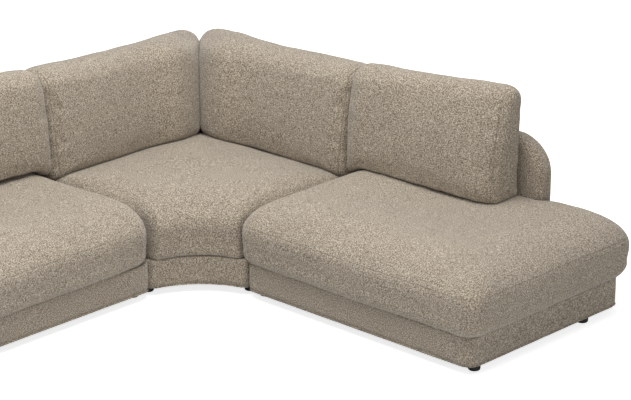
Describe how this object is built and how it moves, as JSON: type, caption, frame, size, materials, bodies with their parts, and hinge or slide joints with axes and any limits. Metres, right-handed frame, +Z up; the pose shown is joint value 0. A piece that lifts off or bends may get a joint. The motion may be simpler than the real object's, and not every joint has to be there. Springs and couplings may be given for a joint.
{
  "type": "corner sofa",
  "caption": "Modular L-shaped corner sofa: upholstered plinths with deep seat cushions, low back panels, a curved corner seat and loose back cushions that lift off.",
  "frame": {"origin": "centre of the sofa's bounding box, on the floor", "axes": "+Z up; the right wing runs along +X with its front facing -Y; the left wing runs along -Y with its front facing +X; the outer corner points to -X +Y"},
  "size_m": [2.5501, 2.5501, 0.9057],
  "materials": {
    "upholstery": "looped boucle weave, beige",
    "foam": "soft foam and fibre filling",
    "timber": "planed softwood and plywood",
    "spring_steel": "oiled spring wire",
    "zinc_steel": "zinc plated",
    "foot_plastic": "black, fine matt",
    "underside_cloth": "black spun cloth",
    "felt": "grey needled felt"
  },
  "bodies": {
    "frame": {"right_base_rails": "timber", "right_foot_blocks": "timber", "right_springs": "spring_steel", "right_spring_clips": "zinc_steel", "right_deck_felt": "felt", "right_plinth_cover": "upholstery", "right_dust_cloth": "underside_cloth", "right_feet": "foot_plastic", "right_foot_screws": "zinc_steel", "right_seat_cover": "upholstery", "right_seat_core": "foam", "right_back_frame": "timber", "right_back_cover": "upholstery", "right_back_bolts": "zinc_steel", "left_base_rails": "timber", "left_foot_blocks": "timber", "left_springs": "spring_steel", "left_spring_clips": "zinc_steel", "left_deck_felt": "felt", "left_plinth_cover": "upholstery", "left_dust_cloth": "underside_cloth", "left_feet": "foot_plastic", "left_foot_screws": "zinc_steel", "left_seat_cover": "upholstery", "left_seat_core": "foam", "left_back_frame": "timber", "left_back_cover": "upholstery", "left_back_bolts": "zinc_steel", "corner_base_rails": "timber", "corner_foot_blocks": "timber", "corner_deck_board": "timber", "corner_plinth_cover": "upholstery", "corner_dust_cloth": "underside_cloth", "corner_feet": "foot_plastic", "corner_foot_screws": "zinc_steel", "corner_seat_cover": "upholstery", "corner_seat_core": "foam", "corner_back_frame": "timber", "corner_back_cover": "upholstery", "corner_back_bolts": "zinc_steel", "corner_joint_ties": "zinc_steel", "corner_tie_screws": "zinc_steel"},
    "right_back_cushion": {"right_back_cushion_cover": "upholstery", "right_back_cushion_core": "foam"},
    "left_back_cushion": {"left_back_cushion_cover": "upholstery", "left_back_cushion_core": "foam"},
    "corner_right_cushion": {"corner_right_cushion_cover": "upholstery", "corner_right_cushion_core": "foam"},
    "corner_left_cushion": {"corner_left_cushion_cover": "upholstery", "corner_left_cushion_core": "foam"}
  },
  "joints": [
    {"name": "right_back_lift", "type": "slide", "parent": "frame", "child": "right_back_cushion", "axis": [0, 0, 1], "range_m": [0, 0.45]},
    {"name": "left_back_lift", "type": "slide", "parent": "frame", "child": "left_back_cushion", "axis": [0, 0, 1], "range_m": [0, 0.45]},
    {"name": "corner_right_lift", "type": "slide", "parent": "frame", "child": "corner_right_cushion", "axis": [0, 0, 1], "range_m": [0, 0.45]},
    {"name": "corner_left_lift", "type": "slide", "parent": "frame", "child": "corner_left_cushion", "axis": [0, 0, 1], "range_m": [0, 0.45]}
  ]
}
